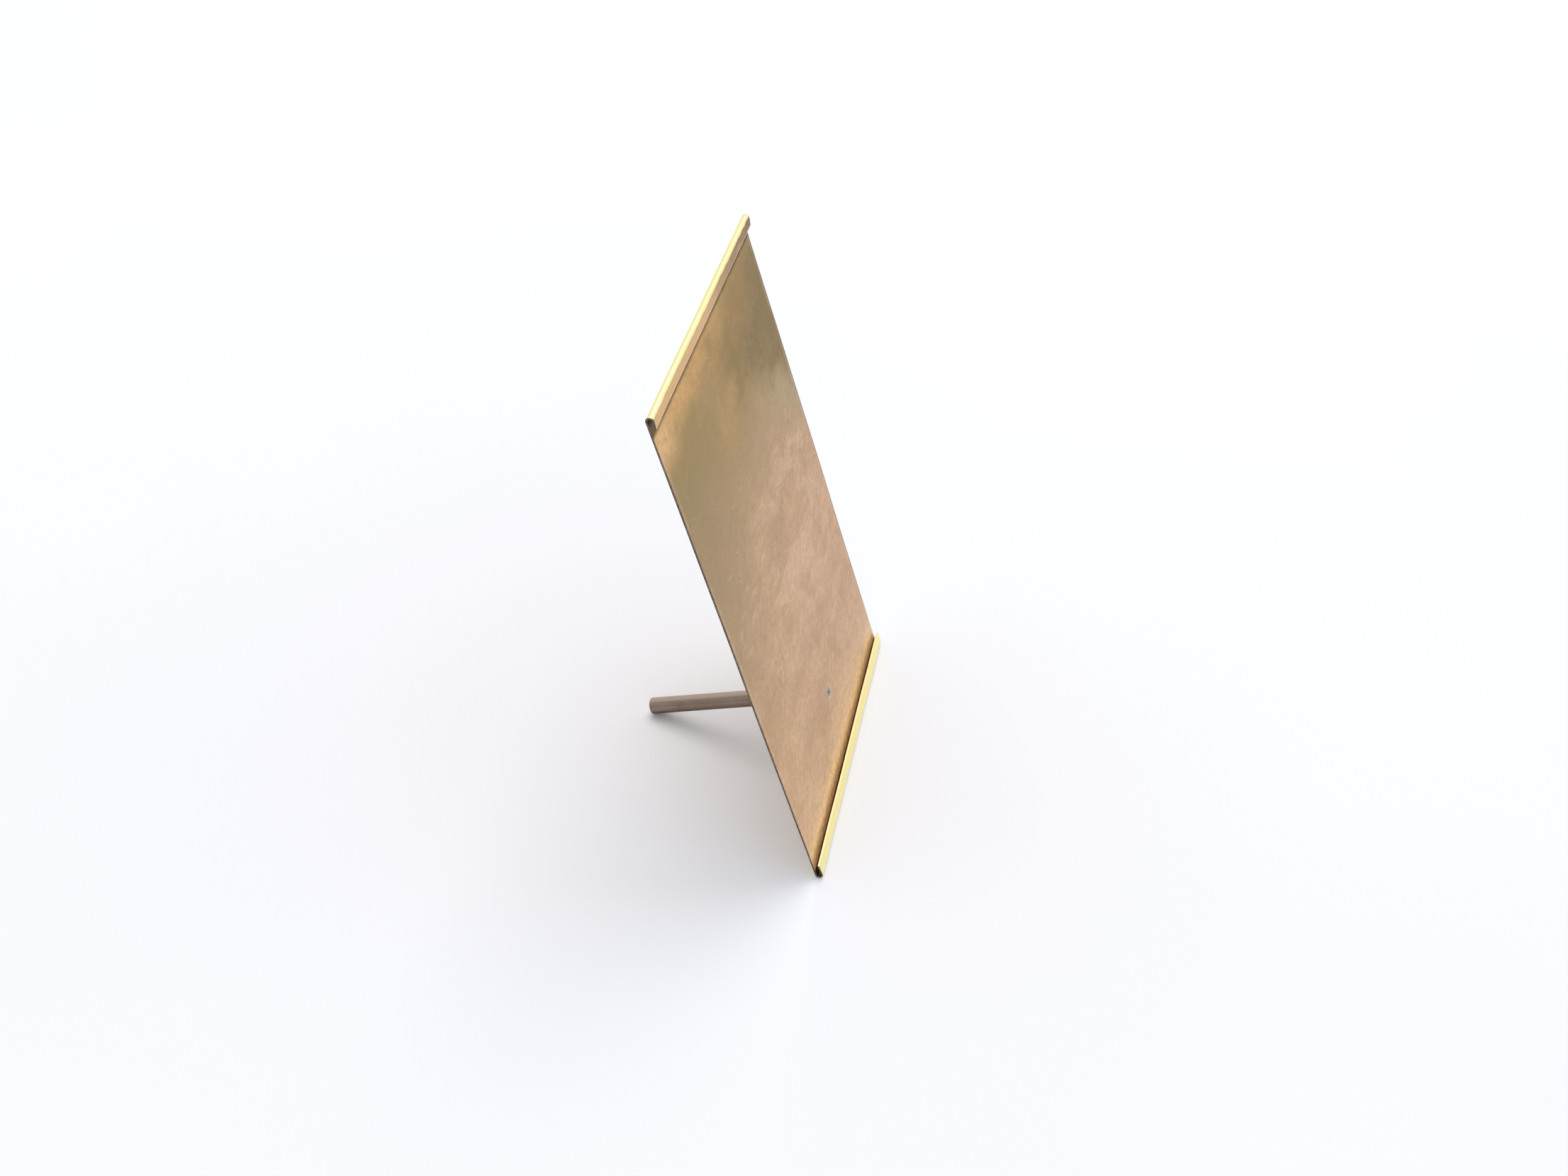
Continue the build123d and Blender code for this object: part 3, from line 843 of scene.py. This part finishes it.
def screw_mesh():
    import bmesh

    seg = 96
    vs, fs, fm, uv = [], [], [], []

    def row(r, z, thread=False):
        ids = []
        for i in range(seg):
            a = 2 * math.pi * i / seg
            rr = r
            if thread:
                ph = (z / PITCH - a / (2 * math.pi)) % 1.0
                t = abs(2 * ph - 1)
                fade = min(1.0, max(0.0, (7.5 - z) / 0.5), max(0.0, (z - 0.75) / 0.35))
                rr = 0.99 - 0.22 * fade * min(1.0, max(0.0, t * 1.25 - 0.12))
            vs.append(ROOT + (SIDE_A * math.cos(a) + SIDE_B * math.sin(a)) * (rr * 0.001) + AXIS * (z * 0.001))
            uv.append((0.0, z))
            ids.append(len(vs) - 1)
        return ids

    def zipped(a, b):
        for i in range(seg):
            j = (i + 1) % seg
            fs.append((a[i], a[j], b[j], b[i]))
            fm.append(0)

    rows = []
    rows.append(row(1.84, HEAD_Z))
    rows.append(row(1.885, HEAD_Z + 0.015))
    rows.append(row(1.9, HEAD_Z + 0.04))
    rows.append(row(1.9, HEAD_Z + 0.08))
    cone_end = HEAD_Z + 0.08 + 0.9
    rows.append(row(1.0, cone_end))
    z = cone_end + PITCH / 8
    while z < 7.45:
        rows.append(row(1.0, z, True))
        z += PITCH / 10
    rows.append(row(0.80, 7.46))
    rows.append(row(0.74, 7.5))
    for a, b in zip(rows, rows[1:]):
        zipped(a, b)
    vs.append(ROOT + AXIS * 0.0075)
    uv.append((0, 0))
    tip = len(vs) - 1
    for i in range(seg):
        fs.append((rows[-1][i], rows[-1][(i + 1) % seg], tip))
        fm.append(0)
    vs.append(ROOT + AXIS * (HEAD_Z * 0.001))
    uv.append((0, 0))
    top = len(vs) - 1
    for i in range(seg):
        fs.append((rows[0][(i + 1) % seg], rows[0][i], top))
        fm.append(0)
    o = new_object("steel_screw", vs, fs, [STEEL], fm, True, uv)

    # the cross recess: two crossed tapered slots cut out of the head
    def wedge(turn):
        c, s = math.cos(turn), math.sin(turn)
        across = SIDE_A * c + SIDE_B * s
        other = SIDE_A * -s + SIDE_B * c
        pts = []
        for z, hl, hw in ((HEAD_Z - 0.3, CROSS / 2 + 0.06, SLOT / 2 + 0.03), (HEAD_Z + 0.02, CROSS / 2, SLOT / 2), (HEAD_Z + DEEP, CROSS / 2 * 0.32, SLOT / 2 * 0.8)):
            for sx, sy in ((1, 1), (-1, 1), (-1, -1), (1, -1)):
                pts.append(ROOT + across * (sx * hl * 0.001) + other * (sy * hw * 0.001) + AXIS * (z * 0.001))
        bm = bmesh.new()
        v = [bm.verts.new(p) for p in pts]
        bm.faces.new(v[0:4])
        bm.faces.new(reversed(v[8:12]))
        for lo in (0, 4):
            for i in range(4):
                j = (i + 1) % 4
                bm.faces.new((v[lo + i], v[lo + 4 + i], v[lo + 4 + j], v[lo + j]))
        bmesh.ops.recalc_face_normals(bm, faces=bm.faces)
        me = bpy.data.meshes.new("recess")
        bm.to_mesh(me)
        bm.free()
        cutter = bpy.data.objects.new("recess", me)
        bpy.context.scene.collection.objects.link(cutter)
        return cutter

    for turn in (TURN, TURN + math.pi / 2):
        cutter = wedge(turn)
        mod = o.modifiers.new("recess", "BOOLEAN")
        mod.operation, mod.object, mod.solver = "DIFFERENCE", cutter, "EXACT"
        dg = bpy.context.evaluated_depsgraph_get()
        made = bpy.data.meshes.new_from_object(o.evaluated_get(dg))
        o.modifiers.clear()
        old = o.data
        o.data = made
        bpy.data.meshes.remove(old)
        me = cutter.data
        bpy.data.objects.remove(cutter)
        bpy.data.meshes.remove(me)
    tidy(o, 32)
    return o


screw = screw_mesh()

for piece, body_name, node, slot in (
    (panel, "panel", "folded_panel", "brass_sheet"),
    (leg, "leg", "leg_rod", "brass_rod"),
    (screw, "screw", "leg_screw", "steel_screw"),
):
    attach(piece, body_name)
    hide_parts(node)


# ---------------------------------------------------------------------------
# Floor, light and camera
# ---------------------------------------------------------------------------
def paper():
    n = Net("pale_floor")
    p = n.coords()
    soft = n.noise(p, 3.0, 3.0, 0.5)
    tooth = n.noise(p, 900.0, 4.0, 0.6)
    b = n.add("ShaderNodeBsdfPrincipled")
    n.put(b.inputs["Base Color"], n.blend(n.fit(soft, 0.3, 0.7), (0.845, 0.842, 0.868), (0.868, 0.865, 0.888)))
    b.inputs["Roughness"].default_value = 0.65
    b.inputs["Specular IOR Level"].default_value = 0.25
    n.put(b.inputs["Normal"], n.bump(tooth, 0.00003, 0.5))
    out = n.add("ShaderNodeOutputMaterial")
    n.put(out.inputs[0], b.outputs[0])
    return n.mat


def floor_mesh():
    size, k = 8.0, 16
    vs = [(-size + 2 * size * i / k, -size + 2 * size * j / k, 0.0) for j in range(k + 1) for i in range(k + 1)]
    fs = [(j * (k + 1) + i, j * (k + 1) + i + 1, (j + 1) * (k + 1) + i + 1, (j + 1) * (k + 1) + i) for j in range(k) for i in range(k)]
    return new_object("studio_floor", vs, fs, [paper()], [0] * len(fs), True)


floor = floor_mesh()
floor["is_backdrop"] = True


def area(name, at, aim, size, power, colour):
    light = bpy.data.lights.new(name, "AREA")
    light.shape = "RECTANGLE"
    light.size, light.size_y = size
    light.energy = power
    light.color = colour
    o = bpy.data.objects.new(name, light)
    o.location = at
    o.rotation_mode = "QUATERNION"
    o.rotation_quaternion = (Vector(aim) - Vector(at)).to_track_quat("-Z", "Y")
    bpy.context.scene.collection.objects.link(o)
    return o


area("window", (1.7, 0.25, 3.4), (0.0, 0.0, 0.0), (2.6, 2.6), 64.0, (1.0, 0.97, 0.915))

# Soft room light: brightest well above the horizon, a little stronger on the
# far side, cooler than the window
world = bpy.data.worlds.new("studio")
bpy.context.scene.world = world
world.use_nodes = True
wt = world.node_tree
wt.nodes.clear()
wc = wt.nodes.new("ShaderNodeTexCoord")
ws = wt.nodes.new("ShaderNodeSeparateXYZ")
wr = wt.nodes.new("ShaderNodeValToRGB")
wx = wt.nodes.new("ShaderNodeMapRange")
wb = wt.nodes.new("ShaderNodeBackground")
wo = wt.nodes.new("ShaderNodeOutputWorld")
wt.links.new(wc.outputs["Generated"], ws.inputs[0])
wt.links.new(ws.outputs[2], wr.inputs[0])
wt.links.new(ws.outputs[0], wx.inputs["Value"])
wt.links.new(wr.outputs[0], wb.inputs[0])
wt.links.new(wx.outputs[0], wb.inputs[1])
wt.links.new(wb.outputs[0], wo.inputs[0])
for k, val in zip(("From Min", "From Max", "To Min", "To Max"), (-1.0, 1.0, 0.71, 0.985)):
    wx.inputs[k].default_value = val
ramp = wr.color_ramp
ramp.elements[0].position, ramp.elements[0].color = 0.0, (0.78, 0.80, 0.84, 1)
ramp.elements[1].position, ramp.elements[1].color = 1.0, (0.74, 0.78, 0.86, 1)
for where, tint in ((0.25, (0.98, 1.01, 1.07, 1)), (0.65, (1.04, 1.07, 1.13, 1))):
    ramp.elements.new(where).color = tint

cam_data = bpy.data.cameras.new("camera")
cam_data.sensor_fit = "HORIZONTAL"
cam_data.sensor_width = 36.0
cam_data.lens = 40.757
cam_data.clip_start, cam_data.clip_end = 0.01, 50.0
camera = bpy.data.objects.new("camera", cam_data)
bpy.context.scene.collection.objects.link(camera)
camera.matrix_world = Matrix(
    (
        (0.19941084, 0.6200109, -0.75882923, -0.378976),
        (-0.97624501, 0.19266498, -0.09912566, -0.054729),
        (0.08474083, 0.76056998, 0.64370203, 0.379866),
        (0, 0, 0, 1),
    )
)
bpy.context.scene.camera = camera
bpy.context.scene.view_settings.view_transform = "Standard"

lo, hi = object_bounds()
